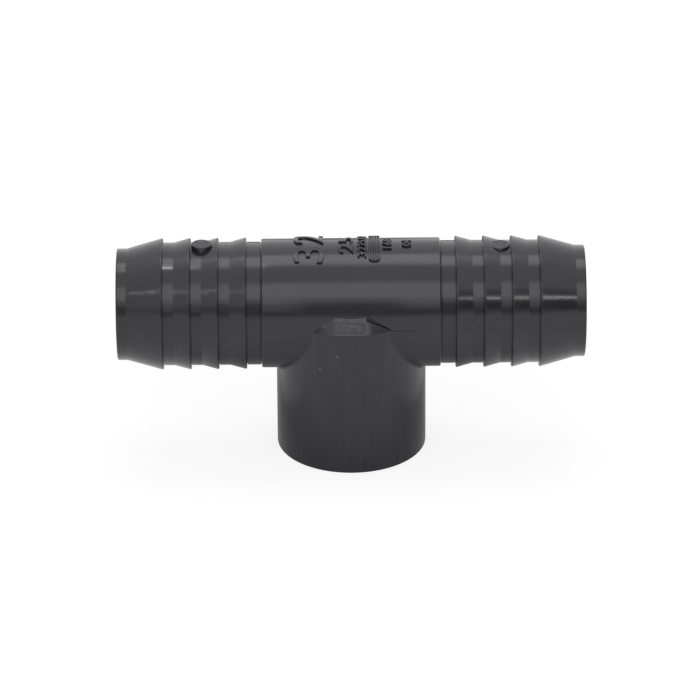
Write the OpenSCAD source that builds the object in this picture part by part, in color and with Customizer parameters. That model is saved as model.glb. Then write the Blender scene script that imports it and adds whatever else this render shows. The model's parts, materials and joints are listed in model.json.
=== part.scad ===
// Barbed reducing tee: two hose spigots in line and a female-threaded branch between them.
// The origin is the centre of the branch mouth's flat rim, +X runs along the two spigots and +Z
// points from the branch mouth up through the run.

/* [Run] */
// Outside diameter of a spigot in the grooves between its barbs
groove_d = 34.0; // [28:0.1:42]
// Wall thickness between a groove and the waterway
wall = 3.7; // [2.6:0.1:5]
// Length of the plain barrel between the two spigots
barrel_len = 49.4; // [44:0.1:70]
// How far the barrel stands proud of a spigot's grooves, which makes the hose stop
shoulder_step = 0.8; // [0.4:0.1:2]

/* [Spigots] */
// Plain neck from the hose stop to the back of the first barb
neck_len = 4.13; // [2:0.01:8]
// Distance from one barb to the next
barb_pitch = 7.67; // [6.4:0.01:10]
// Height of a barb's crest above the groove
barb_height = 1.15; // [0.6:0.05:2]
// Width of the small cylindrical land on each crest
crest_land = 0.4; // [0.2:0.05:0.8]
// Length of a barb's ramp beyond its land
barb_ramp = 4.2; // [2.5:0.1:5]
// Length of the long lead-in ramp on the outermost barb
lead_ramp = 9.6; // [6:0.01:14]
// Depth of the pilot land below the grooves
pilot_step = 1.56; // [0.6:0.01:2]
// Length of the plain pilot land at a spigot's end
pilot_len = 2.71; // [1.5:0.01:8]
// Chamfer on the outer and inner edges of a spigot's end
end_chamfer = 0.4; // [0.2:0.05:0.8]

/* [Branch] */
// How far the branch hub's outside stands proud of the barrel
hub_step = 2.9; // [2.2:0.1:8]
// Diameter of the waterway between the threaded socket and the run
waterway_d = 26; // [18:0.1:30]
// Distance from the end of the thread up to the underside of the barrel
socket_floor = 3.8; // [2:0.1:8]
// Height of the hub's sloping cap above the centre line of the run
cap_height = 4.0; // [2:0.1:6]
// How much the cap's radius shrinks from its foot to its top
cap_draw_in = 2.78; // [1:0.01:4]

/* [Thread] */
// Thread pitch, 11.5 turns to the inch
thread_pitch = 2.209; // [1.4:0.001:3]
// Major diameter of the tapered thread at the branch mouth
thread_major_d = 33.23; // [28:0.01:35.5]
// Length of the tapered thread
thread_len = 19; // [12:0.5:26]
// Depth of the plain lead-in at the mouth
lead_in_depth = 2; // [1:0.1:4]
// Radial clearance of the lead-in over the thread's major diameter
lead_in_clearance = 0.285; // [0.1:0.005:0.6]

/* [Raised numbers] */
// Height of the raised numbers and bars above the barrel
number_relief = 0.62; // [0.3:0.02:1]
// Character height of the run size
run_number_size = 8.4; // [5:0.1:9]
// Width of one of its digits
run_digit_w = 7.2; // [3:0.1:8]
// Character height of the branch size
branch_number_size = 4.2; // [3:0.1:6]
// Width of one of its digits
branch_digit_w = 4.2; // [2:0.1:6]
// Character height of the small mould numbers
mould_number_size = 2.6; // [1.5:0.1:3.2]
// Width of one of their digits
mould_digit_w = 1.6; // [1:0.05:2]
// Length of the raised index bars
bar_len = 15.6; // [6:0.1:20]

/* [Moulding marks] */
// Diameter of the two ejector pads
pad_d = 5.6; // [3:0.1:6.5]
// Height of the left ejector pad above the groove
left_pad_height = 1.43; // [0.5:0.01:2]
// Height of the right ejector pad above the groove
right_pad_height = 0.55; // [0.4:0.01:2]
// Gap from an ejector pad to the back face of the barb outside it
pad_gap = 0.36; // [0.1:0.01:1]
// Width of the trimmed gate on the hub's cap
gate_w = 10.7; // [4:0.1:14]
// Sideways shift of the trimmed gate
gate_shift = -1.15; // [-3:0.05:3]
// How far the trimmed gate stands proud of the cap
gate_relief = 0.15; // [0.05:0.01:0.3]
// Height and width of the flash left along the mould's parting line
flash_size = 0.12; // [0.05:0.01:0.3]

/* [Hidden] */
$fn = 240;
groove_r = groove_d / 2;
bore_r = groove_r - wall;
barrel_r = groove_r + shoulder_step;
crest_r = groove_r + barb_height;
pilot_r = groove_r - pilot_step;
hub_r = barrel_r + hub_step;
waterway_r = waterway_d / 2;
lead_in_r = thread_major_d / 2 + lead_in_clearance;
// Height of the run's centre line above the branch mouth
axis_h = lead_in_depth + thread_len + socket_floor + barrel_r;
shoulder_x = barrel_len / 2;
// The back faces of barbs 1, 2, 3 and of the lead-in barb lie at these distances from the branch
barb_x = [for (i = [0:3]) shoulder_x + neck_len + i * barb_pitch];
lead_barb_end = barb_x[3] + crest_land + lead_ramp;
run_end = lead_barb_end + pilot_len;
// Reach of a cutting solid beyond the face that it opens
over = 1;

// The thread: 1:16 on diameter, 60 degree flanks, with flat crests and roots
taper = 1 / 32;
ridge_root_w = 0.94 * thread_pitch;
ridge_crest_w = 0.08 * thread_pitch;
ridge_h = (ridge_root_w - ridge_crest_w) / 2 * tan(60);
steps_per_turn = 48;
runout_turns = 0.25;
runout_floor = 0.05;

hub_colour = "#454547";
run_colour = "#4a4a4c";
barb_colour = "#3f3f41";
mark_colour = "#555557";

// A round solid along the run, from x0 to x1
module along_run(x0, x1, r) {
    translate([x0, 0, axis_h]) rotate([0, 90, 0]) cylinder(h = x1 - x0, r = r);
}

// The same with a cone's two radii
module cone_along_run(x0, x1, r0, r1) {
    translate([x0, 0, axis_h]) rotate([0, 90, 0]) cylinder(h = x1 - x0, r1 = r0, r2 = r1);
}

// Turns a profile of [radius, distance] about the run
module ring_about_run(profile) {
    translate([0, 0, axis_h]) rotate([0, 90, 0]) rotate_extrude() polygon(profile);
}

// One barb of triangular section, seated on the spigot's groove diameter
module barb(i) {
    ring_about_run([[groove_r, barb_x[i]], [crest_r, barb_x[i]],
                    [crest_r, barb_x[i] + crest_land],
                    [groove_r, barb_x[i] + crest_land + barb_ramp]]);
}

// The outermost barb, whose long ramp leads the hose on
module lead_barb() {
    ring_about_run([[pilot_r, barb_x[3]], [crest_r, barb_x[3]],
                    [crest_r, barb_x[3] + crest_land], [pilot_r, lead_barb_end]]);
}

// The spigot's tube: groove diameter up to the lead-in barb, pilot diameter to the end
module spigot() {
    difference() {
        union() {
            along_run(shoulder_x, barb_x[3], groove_r);
            along_run(barb_x[3], run_end - end_chamfer, pilot_r);
            cone_along_run(run_end - end_chamfer, run_end, pilot_r, pilot_r - end_chamfer);
        }
        along_run(shoulder_x - over, run_end + over, bore_r);
        cone_along_run(run_end - end_chamfer, run_end + over,
                       bore_r, bore_r + end_chamfer + over);
    }
}

// What an ejector pad stands on: the groove and barb 2 as one solid, filled to the centre line
module pad_seat() {
    ring_about_run([[0, shoulder_x], [groove_r, shoulder_x],
                    [groove_r, barb_x[1]], [crest_r, barb_x[1]],
                    [crest_r, barb_x[1] + crest_land],
                    [groove_r, barb_x[1] + crest_land + barb_ramp],
                    [groove_r, barb_x[3]], [0, barb_x[3]]]);
}

// A flat-topped ejector pad on the top line between barbs 2 and 3
module ejector_pad(height) {
    difference() {
        translate([barb_x[2] - pad_gap - pad_d / 2, 0, axis_h]) cylinder(h = groove_r + height, d = pad_d);
        pad_seat();
    }
}

// The hub's outside: a cylinder to the run's centre line and a sloping cap above it
module hub_outside(extra = 0) {
    cylinder(h = axis_h, r = hub_r + extra);
    translate([0, 0, axis_h])
        cylinder(h = cap_height, r1 = hub_r + extra, r2 = hub_r - cap_draw_in + extra);
}

// Radius of the socket's tapered wall at height z above the mouth
function socket_r(z) = thread_major_d / 2 - z * taper;

// Share of the full ridge height at turn t of n turns, with a run-out at each end
function ridge_share(t, n) = max(runout_floor, min(1, t / runout_turns, (n - t) / runout_turns));

// Four corners of the ridge's section at turn t
function ridge_section(t, n) =
    let (z = lead_in_depth + ridge_root_w / 2 + t * thread_pitch,
         s = ridge_share(t, n),
         a = 360 * t,
         root = ridge_root_w / 2 * s,
         crest = ridge_crest_w / 2 * s,
         corners = [[socket_r(z - root), z - root], [socket_r(z) - ridge_h * s, z - crest],
                    [socket_r(z) - ridge_h * s, z + crest], [socket_r(z + root), z + root]])
    [for (c = corners) [c[0] * cos(a), c[0] * sin(a), c[1]]];

// One digit as up to seven straight strokes; bits run top, upper left, upper right, middle,
// lower left, lower right, bottom
DIGIT_STROKES = [[1, 1, 1, 0, 1, 1, 1], [0, 0, 1, 0, 0, 1, 0], [1, 0, 1, 1, 1, 0, 1],
                 [1, 0, 1, 1, 0, 1, 1], [0, 1, 1, 1, 0, 1, 0], [1, 1, 0, 1, 0, 1, 1],
                 [1, 1, 0, 1, 1, 1, 1], [1, 0, 1, 0, 0, 1, 0], [1, 1, 1, 1, 1, 1, 1],
                 [1, 1, 1, 1, 0, 1, 1]];
digit_stroke = 0.14;
digit_gap = 0.24;

module digit(value, size, w) {
    t = size * digit_stroke;
    on = DIGIT_STROKES[value];
    if (on[0]) translate([0, size - t]) square([w, t]);
    if (on[1]) translate([0, (size - t) / 2]) square([t, (size + t) / 2]);
    if (on[2]) translate([w - t, (size - t) / 2]) square([t, (size + t) / 2]);
    if (on[3]) translate([0, (size - t) / 2]) square([w, t]);
    if (on[4]) square([t, (size + t) / 2]);
    if (on[5]) translate([w - t, 0]) square([t, (size + t) / 2]);
    if (on[6]) square([w, t]);
}

// A row of digits that reads across the barrel, from front to back, centred at distance x
module number_row(x, digits, size, digit_w) {
    step = digit_w + size * digit_gap;
    row_w = step * len(digits) - size * digit_gap;
    translate([x + size / 2, -row_w / 2]) rotate(90)
        for (i = [0:len(digits) - 1]) translate([i * step, 0]) digit(digits[i], size, digit_w);
}

// Raises a flat outline from the top of the barrel
module raised_on_barrel() {
    intersection() {
        translate([0, 0, axis_h]) linear_extrude(barrel_r + over + number_relief) children();
        difference() {
            along_run(-shoulder_x, shoulder_x, barrel_r + number_relief);
            along_run(-shoulder_x - over, shoulder_x + over, barrel_r);
        }
    }
}

module run_barrel() {
    color(run_colour) difference() {
        along_run(-shoulder_x, shoulder_x, barrel_r);
        along_run(-shoulder_x - over, shoulder_x + over, bore_r);
        cylinder(h = axis_h, r = waterway_r);
    }
}

module branch_hub() {
    color(hub_colour) difference() {
        hub_outside();
        along_run(-hub_r - over, hub_r + over, barrel_r);
        translate([0, 0, -over]) cylinder(h = over + lead_in_depth, r = lead_in_r);
        translate([0, 0, lead_in_depth])
            cylinder(h = thread_len, r1 = socket_r(lead_in_depth),
                     r2 = socket_r(lead_in_depth + thread_len));
        cylinder(h = axis_h, r = waterway_r);
    }
}

module branch_thread() {
    turns = (thread_len - ridge_root_w) / thread_pitch;
    count = floor(turns * steps_per_turn);
    last = 4 * count;
    color(barb_colour) polyhedron(
        points = [for (i = [0:count]) each ridge_section(i * turns / count, turns)],
        faces = concat(
            [[0, 1, 2], [0, 2, 3], [last, last + 2, last + 1], [last, last + 3, last + 2]],
            [for (i = [0:count - 1]) for (k = [0:3])
                [4 * i + k, 4 * i + 4 + k, 4 * i + 4 + (k + 1) % 4]],
            [for (i = [0:count - 1]) for (k = [0:3])
                [4 * i + k, 4 * i + 4 + (k + 1) % 4, 4 * i + (k + 1) % 4]]),
        convexity = 20);
}

module right_spigot() {
    color(run_colour) spigot();
}

module right_barb_1() {
    color(barb_colour) barb(0);
}

module right_barb_2() {
    color(barb_colour) barb(1);
}

module right_barb_3() {
    color(barb_colour) barb(2);
}

module right_lead_barb() {
    color(barb_colour) lead_barb();
}

module left_spigot() {
    mirror([1, 0, 0]) right_spigot();
}

module left_barb_1() {
    mirror([1, 0, 0]) right_barb_1();
}

module left_barb_2() {
    mirror([1, 0, 0]) right_barb_2();
}

module left_barb_3() {
    mirror([1, 0, 0]) right_barb_3();
}

module left_lead_barb() {
    mirror([1, 0, 0]) right_lead_barb();
}

module left_ejector_pad() {
    color(mark_colour) mirror([1, 0, 0]) ejector_pad(left_pad_height);
}

module right_ejector_pad() {
    color(mark_colour) ejector_pad(right_pad_height);
}

// Nominal size of the run, then of the branch
module size_numbers() {
    color(mark_colour) raised_on_barrel() {
        number_row(-11.6, [3, 2], run_number_size, run_digit_w);
        number_row(-1.3, [2, 5], branch_number_size, branch_digit_w);
    }
}

// Small mould and cavity numbers
module mould_numbers() {
    color(mark_colour) raised_on_barrel() {
        number_row(3.1, [3, 2, 2, 5, 3, 2], mould_number_size, mould_digit_w);
        number_row(10, [1, 6, 8], mould_number_size, mould_digit_w);
        number_row(15.4, [0, 4], mould_number_size, mould_digit_w);
    }
}

// Plain parallel bars between the two groups of mould numbers
module index_bars() {
    bar_w = 0.38;
    bar_step = 0.74;
    color(mark_colour) raised_on_barrel()
        for (i = [-2:2]) translate([6.5 + i * bar_step - bar_w / 2, -bar_len / 2]) square([bar_w, bar_len]);
}

// What is left of the trimmed gate, on the front of the hub's cap
module gate_vestige() {
    margin = 0.3;
    color(mark_colour) intersection() {
        difference() {
            hub_outside(gate_relief);
            hub_outside();
            along_run(-hub_r - over, hub_r + over, barrel_r);
        }
        translate([gate_shift - gate_w / 2, -hub_r - over, axis_h + margin])
            cube([gate_w, hub_r + over, cap_height - 2 * margin]);
    }
}

// Thin flash on the barrel's front and back, from the hub out to the hose stops
module parting_flash() {
    color(mark_colour) difference() {
        translate([-shoulder_x, -barrel_r - flash_size, axis_h - flash_size / 2])
            cube([barrel_len, 2 * (barrel_r + flash_size), flash_size]);
        along_run(-shoulder_x - over, shoulder_x + over, barrel_r);
        hub_outside();
    }
}

run_barrel();
branch_hub();
branch_thread();
left_spigot();
left_barb_1();
left_barb_2();
left_barb_3();
left_lead_barb();
right_spigot();
right_barb_1();
right_barb_2();
right_barb_3();
right_lead_barb();
left_ejector_pad();
right_ejector_pad();
size_numbers();
mould_numbers();
index_bars();
gate_vestige();
parting_flash();
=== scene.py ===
"""Looks of the barbed reducing tee: every piece of the moulding at its packed place and size.

The tee stands on its branch mouth. +X runs along the two hose spigots, +Z from the mouth up to
the run, and all lengths are in metres.
"""

import json
import logging
import math
from collections.abc import Iterable, Mapping, Sequence
from dataclasses import dataclass
from enum import Enum
from functools import cached_property
from typing import Any

import bmesh
import bpy
import numpy as np
from mathutils import Matrix, Vector, noise

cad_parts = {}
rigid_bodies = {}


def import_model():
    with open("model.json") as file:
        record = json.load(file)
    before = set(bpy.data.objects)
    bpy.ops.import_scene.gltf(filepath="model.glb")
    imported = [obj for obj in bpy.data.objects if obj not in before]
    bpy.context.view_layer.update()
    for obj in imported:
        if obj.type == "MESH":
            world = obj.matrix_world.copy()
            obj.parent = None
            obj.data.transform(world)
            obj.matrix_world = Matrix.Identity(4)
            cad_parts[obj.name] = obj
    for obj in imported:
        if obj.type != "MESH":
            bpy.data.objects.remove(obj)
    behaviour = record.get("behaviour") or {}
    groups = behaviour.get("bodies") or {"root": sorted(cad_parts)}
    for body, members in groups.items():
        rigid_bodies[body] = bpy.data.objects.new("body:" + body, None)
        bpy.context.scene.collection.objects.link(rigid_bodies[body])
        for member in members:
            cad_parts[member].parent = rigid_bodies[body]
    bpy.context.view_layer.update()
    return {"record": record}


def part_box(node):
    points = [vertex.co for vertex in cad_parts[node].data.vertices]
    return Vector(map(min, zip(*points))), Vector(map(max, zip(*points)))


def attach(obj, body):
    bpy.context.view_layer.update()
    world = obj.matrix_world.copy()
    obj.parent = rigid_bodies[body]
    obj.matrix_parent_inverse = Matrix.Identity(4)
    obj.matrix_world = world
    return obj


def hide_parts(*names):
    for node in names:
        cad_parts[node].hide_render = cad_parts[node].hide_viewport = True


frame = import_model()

LOG = logging.getLogger("barbed_tee")

MM = 0.001
BODY = "root"
SEGMENTS = 192
SHARP_ANGLE = math.radians(28)
WHITE = (1.0, 1.0, 1.0, 1.0)
NOISE_CORE = (0.35, 0.65)
NOISE_SPAN = (0.3, 0.7)


class Side(Enum):
    """Which spigot a piece belongs to; the value is the sign of its X."""

    LEFT = -1
    RIGHT = 1

    @property
    def word(self) -> str:
        """Lower-case name used in piece names."""
        return self.name.lower()


class Slot(Enum):
    """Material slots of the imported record."""

    GREY = "grey_pvc"
    TRIMMED = "trimmed_pvc"


# ---------------------------------------------------------------------------------------------
# Sizes


def mount_radius(name: str) -> float:
    """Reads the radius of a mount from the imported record.

    Args:
        name: The mount's name.

    Returns:
        Its radius in metres.
    """
    mounts = {m["name"]: m for m in frame["record"]["mounts"]}
    return mounts[name]["dims"]["r_mm"] * MM


@dataclass(frozen=True)
class TeeSizes:
    """Sizes of the tee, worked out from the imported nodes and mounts."""

    axis_z: float
    barrel_r: float
    shoulder_x: float
    groove_r: float
    crest_r: float
    barb_backs: tuple[float, ...]
    barb_ramp_end: float
    lead_ramp_end: float
    run_end: float
    hub_r: float
    cap_top: float
    bore_r: float
    waterway_r: float
    lead_in_r: float
    thread_bottom: float
    thread_top: float
    pilot_r: float

    @classmethod
    def from_frame(cls) -> "TeeSizes":
        """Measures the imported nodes.

        Returns:
            The sizes that every piece is built from.
        """
        barrel_low, barrel_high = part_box("run_barrel")
        barb_boxes = [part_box(f"right_barb_{i}") for i in (1, 2, 3)]
        lead_low, lead_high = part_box("right_lead_barb")
        spigot_low, spigot_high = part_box("right_spigot")
        hub_low, hub_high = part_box("branch_hub")
        thread_low, thread_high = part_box("branch_thread")
        pilot_step = 1.56 * MM
        groove_r = (spigot_high.y - spigot_low.y) / 2
        return cls(
            axis_z=(barrel_low.z + barrel_high.z) / 2,
            barrel_r=(barrel_high.y - barrel_low.y) / 2,
            shoulder_x=barrel_high.x,
            groove_r=groove_r,
            crest_r=(barb_boxes[0][1].y - barb_boxes[0][0].y) / 2,
            barb_backs=tuple(low.x for low, _ in barb_boxes) + (lead_low.x,),
            barb_ramp_end=barb_boxes[0][1].x - barb_boxes[0][0].x,
            lead_ramp_end=lead_high.x,
            run_end=spigot_high.x,
            hub_r=(hub_high.x - hub_low.x) / 2,
            cap_top=hub_high.z,
            bore_r=mount_radius("run_waterway"),
            waterway_r=mount_radius("branch_waterway"),
            lead_in_r=mount_radius("branch_socket_lead_in"),
            thread_bottom=thread_low.z,
            thread_top=thread_high.z,
            pilot_r=groove_r - pilot_step,
        )


# ---------------------------------------------------------------------------------------------
# Mesh helpers


@dataclass(frozen=True)
class Corner:
    """A corner of an outline: its place along the axis, its radius and how much it is rounded."""

    along: float
    out: float
    rounding: float = 0.0


def round_outline(corners: Sequence[Corner], steps: int = 4) -> list[tuple[float, float]]:
    """Rounds the corners of a closed outline.

    Args:
        corners: The outline's corners in order.
        steps: Straight pieces in each rounded corner.

    Returns:
        Points as (along, out).
    """
    points: list[tuple[float, float]] = []
    count = len(corners)
    for i, corner in enumerate(corners):
        here = Vector((corner.along, corner.out))
        if corner.rounding <= 0:
            points.append((here.x, here.y))
            continue
        before = corners[i - 1]
        after = corners[(i + 1) % count]
        back = (Vector((before.along, before.out)) - here).normalized()
        ahead = (Vector((after.along, after.out)) - here).normalized()
        half = back.angle(ahead) / 2
        reach = corner.rounding / math.tan(half)
        start = here + back * reach
        end = here + ahead * reach
        centre = here + (back + ahead).normalized() * (corner.rounding / math.sin(half))
        from_centre = start - centre
        to_end = end - centre
        turn = from_centre.angle_signed(to_end)
        for k in range(steps + 1):
            spun = from_centre.copy()
            spun.rotate(Matrix.Rotation(-turn * k / steps, 2))
            points.append(tuple(centre + spun))
    return points


def full_turn(count: int) -> np.ndarray:
    """Evenly spaced angles round a full turn."""
    return np.linspace(0, 2 * math.pi, count, endpoint=False)


def clean_solid(mesh: bpy.types.Mesh, merge: float = 1e-7) -> None:
    """Merges doubled points and turns every face outwards.

    Args:
        mesh: A closed mesh.
        merge: Points nearer than this become one.
    """
    bm = bmesh.new()
    bm.from_mesh(mesh)
    bmesh.ops.remove_doubles(bm, verts=bm.verts, dist=merge)
    bmesh.ops.dissolve_degenerate(bm, edges=bm.edges, dist=merge)
    bare = [edge for edge in bm.edges if not edge.link_faces]
    bmesh.ops.delete(bm, geom=bare, context="EDGES")
    bmesh.ops.recalc_face_normals(bm, faces=bm.faces)
    bm.to_mesh(mesh)
    bm.free()


def closed_mesh(name: str, points: Sequence[Sequence[float]],
                faces: Sequence[Sequence[int]]) -> bpy.types.Mesh:
    """Makes a closed mesh from points and faces, and turns its faces outwards."""
    mesh = bpy.data.meshes.new(name)
    mesh.from_pydata(points, [], faces)
    clean_solid(mesh)
    return mesh


def mesh_from(bm: bmesh.types.BMesh, name: str) -> bpy.types.Mesh:
    """Turns an edit mesh into a plain mesh and frees it."""
    mesh = bpy.data.meshes.new(name)
    bm.to_mesh(mesh)
    bm.free()
    return mesh


def grid_solid(name: str, *axes: np.ndarray) -> bpy.types.Mesh:
    """Makes a closed ring-shaped mesh from a grid that wraps round both ways.

    Args:
        name: The mesh's name.
        axes: The X, Y and Z of its points, which together fill columns by rows.

    Returns:
        The mesh, with its faces outwards.
    """
    grid = np.stack(np.broadcast_arrays(*axes), axis=-1)
    columns, rows, _ = grid.shape
    index = np.arange(columns * rows).reshape(columns, rows)
    right = np.roll(index, -1, axis=0)
    up = np.roll(index, -1, axis=1)
    corner = np.roll(right, -1, axis=1)
    quads = np.stack([index, right, corner, up], axis=-1).reshape(-1, 4)
    return closed_mesh(name, grid.reshape(-1, 3).tolist(), quads.tolist())


def revolve_on_run(name: str, outline: Sequence[tuple[float, float]], axis_z: float,
                   side: Side = Side.RIGHT) -> bpy.types.Mesh:
    """Turns an outline about the run's centre line.

    Args:
        name: The mesh's name.
        outline: Closed outline as (distance from the branch, radius).
        axis_z: Height of the centre line.
        side: Which way the distance is measured.

    Returns:
        The solid of revolution.
    """
    angles = full_turn(SEGMENTS)[:, None]
    along, out = np.array(outline).T
    return grid_solid(name, side.value * along, np.sin(angles) * out,
                      axis_z + np.cos(angles) * out)


def new_object(name: str, data: bpy.types.ID) -> bpy.types.Object:
    """Puts data in the scene as an object at the origin."""
    obj = bpy.data.objects.new(name, data)
    bpy.context.scene.collection.objects.link(obj)
    return obj


def baked_mesh(obj: bpy.types.Object, name: str) -> bpy.types.Mesh:
    """Evaluates an object and returns its result as a plain mesh.

    Args:
        obj: An object with modifiers.
        name: Name of the new mesh.

    Returns:
        A mesh that depends on no modifier.
    """
    graph = bpy.context.evaluated_depsgraph_get()
    mesh = bpy.data.meshes.new_from_object(obj.evaluated_get(graph), depsgraph=graph)
    mesh.name = name
    return mesh


def cut_away(mesh: bpy.types.Mesh, cutters: Iterable[bpy.types.Mesh]) -> bpy.types.Mesh:
    """Cuts solids out of a solid.

    Args:
        mesh: The solid to cut.
        cutters: The solids that are taken away.

    Returns:
        The cut solid.
    """
    target = new_object(mesh.name + ".uncut", mesh)
    tools = [new_object(f"{mesh.name}.cutter", cutter) for cutter in cutters]
    for tool in tools:
        modifier = target.modifiers.new("cut", "BOOLEAN")
        modifier.operation = "DIFFERENCE"
        modifier.solver = "EXACT"
        modifier.object = tool
    result = baked_mesh(target, mesh.name)
    for obj in (target, *tools):
        bpy.data.objects.remove(obj)
    return result


def place(mesh: bpy.types.Mesh, node: str, material: bpy.types.Material,
          slot: Slot = Slot.GREY) -> None:
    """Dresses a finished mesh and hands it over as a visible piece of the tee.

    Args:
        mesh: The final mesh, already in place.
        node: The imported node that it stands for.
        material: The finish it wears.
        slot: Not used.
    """
    mesh.materials.clear()
    mesh.materials.append(material)
    mesh.polygons.foreach_set("use_smooth", [True] * len(mesh.polygons))
    mesh.set_sharp_from_angle(angle=SHARP_ANGLE)
    mesh.update()
    obj = new_object(f"tee.{node}", mesh)
    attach(obj, BODY)
    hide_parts(node)
    LOG.info("%s: %d faces", obj.name, len(mesh.polygons))


# ---------------------------------------------------------------------------------------------
# Node trees


class TreeBuilder:
    """Builds one node tree with short calls."""

    def __init__(self, tree: bpy.types.NodeTree) -> None:
        """Keeps the tree that the calls add to."""
        self.tree = tree

    def add(self, kind: str, feeds: Mapping[int | str, Any] | None = None,
            **settings: Any) -> bpy.types.Node:
        """Adds a node.

        Args:
            kind: The node's type.
            feeds: What its named or numbered inputs take.
            settings: Properties of the node.

        Returns:
            The new node.
        """
        node = self.tree.nodes.new(kind)
        for key, value in settings.items():
            setattr(node, key, value)
        for key, source in (feeds or {}).items():
            self.feed(node.inputs[key], source)
        return node

    def feed(self, socket: bpy.types.NodeSocket, source: Any) -> None:
        """Links a socket to another, or sets its value."""
        if isinstance(source, bpy.types.NodeSocket):
            self.tree.links.new(source, socket)
        else:
            socket.default_value = source

    def math(self, operation: str, *terms: Any) -> bpy.types.NodeSocket:
        """Adds a Math node and returns its result."""
        return self.add("ShaderNodeMath", dict(enumerate(terms)), operation=operation).outputs[0]

    def times(self, value: Any, factor: Any) -> bpy.types.NodeSocket:
        """Multiplies two values."""
        return self.math("MULTIPLY", value, factor)

    def less(self, value: Any, amount: Any) -> bpy.types.NodeSocket:
        """Takes an amount from a value."""
        return self.math("SUBTRACT", value, amount)

    def point(self, x: Any, y: Any) -> bpy.types.NodeSocket:
        """Adds a Combine XYZ node at z = 0 and returns its vector."""
        return self.add("ShaderNodeCombineXYZ", {0: x, 1: y}).outputs[0]

    def remap(self, value: Any, low: float, high: float, to_low: Any,
              to_high: Any) -> bpy.types.NodeSocket:
        """Maps a range onto another, clamped."""
        return self.add("ShaderNodeMapRange", {
            "Value": value, "From Min": low, "From Max": high, "To Min": to_low,
            "To Max": to_high}).outputs[0]

    def steps(self, value: Any, stops: Sequence[tuple[float, float]]) -> bpy.types.NodeSocket:
        """Maps a value through a line with several bends.

        Args:
            value: The value to map.
            stops: Points of the line as (value, result).

        Returns:
            The result, which holds its end levels beyond the first and last stop.
        """
        total: Any = stops[0][1]
        for (low, level), (high, next_level) in zip(stops, stops[1:]):
            total = self.math("ADD", total, self.remap(value, low, high, 0.0, next_level - level))
        return total


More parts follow.
